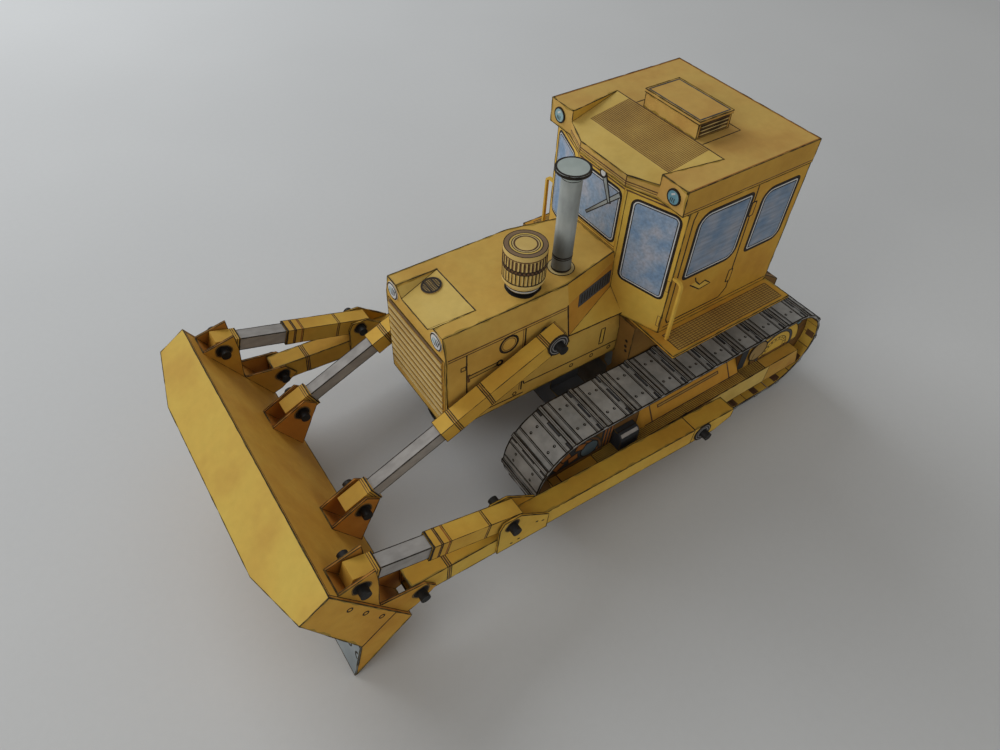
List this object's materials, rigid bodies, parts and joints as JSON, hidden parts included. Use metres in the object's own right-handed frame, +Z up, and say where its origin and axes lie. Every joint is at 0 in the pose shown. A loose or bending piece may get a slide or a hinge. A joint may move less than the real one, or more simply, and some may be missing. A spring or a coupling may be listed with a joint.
{
  "type": "card model bulldozer",
  "caption": "Hand-coloured folded card model of a tracked bulldozer with a lifting, tipping blade on push arms and telescoping square cylinders.",
  "frame": {"origin": "on the ground in the middle of the whole model, from the back of the tracks to the blade's lip", "axes": "+X forward to the blade, +Y to the machine's left, +Z up"},
  "size_m": [0.2142, 0.1064, 0.1102],
  "materials": {
    "yellow_card": "matte hand-tinted card",
    "track_card": "matte printed card",
    "silver_card": "matte grey card",
    "grey_card": "matte grey card",
    "black_card": "matte black card",
    "lamp_card": "matte printed card",
    "black_skewer": "inked bamboo"
  },
  "bodies": {
    "machine": {"air_cleaner": "grey_card", "cab_roof": "yellow_card", "cab_walls": "yellow_card", "deck": "yellow_card", "drawbar": "yellow_card", "exhaust_stack": "grey_card", "filler_cap": "yellow_card", "grille": "yellow_card", "hand_rail_left": "yellow_card", "hand_rail_right": "yellow_card", "hood": "yellow_card", "hood_lamps": "lamp_card", "hull": "yellow_card", "lift_top_pins": "black_skewer", "roof_lamps": "lamp_card", "roof_vent": "yellow_card", "side_box_left": "black_card", "side_box_right": "black_card", "side_panel_left": "yellow_card", "side_panel_right": "yellow_card", "sump": "grey_card", "tow_eye": "grey_card", "track_band_left": "track_card", "track_band_right": "track_card", "track_beam_left": "yellow_card", "track_beam_right": "yellow_card", "track_core_left": "yellow_card", "track_core_right": "yellow_card", "trunnion_pins": "black_skewer"},
    "push_arms": {"push_arm_left": "yellow_card", "push_arm_right": "yellow_card", "brace_foot_pins": "black_skewer"},
    "blade": {"blade": "yellow_card", "cutting_edge": "silver_card", "arm_brackets": "yellow_card", "brace_brackets": "yellow_card", "lift_brackets": "yellow_card", "blade_pins": "black_skewer", "brace_head_pins": "black_skewer", "lift_head_pins": "black_skewer"},
    "lift_barrel_left": {"lift_barrel_left": "yellow_card"},
    "lift_rod_left": {"lift_rod_left": "silver_card"},
    "brace_barrel_left": {"brace_barrel_left": "yellow_card"},
    "brace_rod_left": {"brace_rod_left": "silver_card"},
    "lift_barrel_right": {"lift_barrel_right": "yellow_card"},
    "lift_rod_right": {"lift_rod_right": "silver_card"},
    "brace_barrel_right": {"brace_barrel_right": "yellow_card"},
    "brace_rod_right": {"brace_rod_right": "silver_card"}
  },
  "joints": [
    {"name": "blade_lift", "type": "hinge", "parent": "machine", "child": "push_arms", "pos_m": [-0.039, 0, 0.0173], "axis": [0, -1, 0], "range_deg": [0, 15]},
    {"name": "blade_pitch", "type": "hinge", "parent": "push_arms", "child": "blade", "pos_m": [0.0704, 0, 0.0244], "axis": [0, -1, 0], "range_deg": [0, 6]},
    {"name": "lift_barrel_left_swing", "type": "hinge", "parent": "machine", "child": "lift_barrel_left", "pos_m": [0.0076, 0.0206, 0.0618], "axis": [0, -1, 0], "range_deg": [0, 23]},
    {"name": "lift_rod_left_slide", "type": "slide", "parent": "lift_barrel_left", "child": "lift_rod_left", "axis": [0.9154, 0, -0.4026], "range_m": [-0.0152, 0]},
    {"name": "brace_barrel_left_swing", "type": "hinge", "parent": "push_arms", "child": "brace_barrel_left", "pos_m": [0.04059, 0.0465, 0.03078], "axis": [0, -1, 0], "range_deg": [0, 2.8]},
    {"name": "brace_rod_left_slide", "type": "slide", "parent": "brace_barrel_left", "child": "brace_rod_left", "axis": [0.9559, 0, 0.2936], "range_m": [-0.0017, 0]},
    {"name": "lift_barrel_right_swing", "type": "hinge", "parent": "machine", "child": "lift_barrel_right", "pos_m": [0.0076, -0.0206, 0.0618], "axis": [0, -1, 0], "range_deg": [0, 23]},
    {"name": "lift_rod_right_slide", "type": "slide", "parent": "lift_barrel_right", "child": "lift_rod_right", "axis": [0.9154, 0, -0.4026], "range_m": [-0.0152, 0]},
    {"name": "brace_barrel_right_swing", "type": "hinge", "parent": "push_arms", "child": "brace_barrel_right", "pos_m": [0.04059, -0.0465, 0.03078], "axis": [0, -1, 0], "range_deg": [0, 2.8]},
    {"name": "brace_rod_right_slide", "type": "slide", "parent": "brace_barrel_right", "child": "brace_rod_right", "axis": [0.9559, 0, 0.2936], "range_m": [-0.0017, 0]}
  ],
  "couplings": [
    {"joint": "lift_barrel_left_swing", "follows": "blade_lift", "ratio": 1.5131},
    {"joint": "lift_rod_left_slide", "follows": "blade_lift", "m_per_rad": -0.057129},
    {"joint": "brace_barrel_left_swing", "follows": "blade_pitch", "ratio": 0.4366},
    {"joint": "brace_rod_left_slide", "follows": "blade_pitch", "m_per_rad": -0.015358},
    {"joint": "lift_barrel_right_swing", "follows": "blade_lift", "ratio": 1.5131},
    {"joint": "lift_rod_right_slide", "follows": "blade_lift", "m_per_rad": -0.057129},
    {"joint": "brace_barrel_right_swing", "follows": "blade_pitch", "ratio": 0.4366},
    {"joint": "brace_rod_right_slide", "follows": "blade_pitch", "m_per_rad": -0.015358}
  ]
}
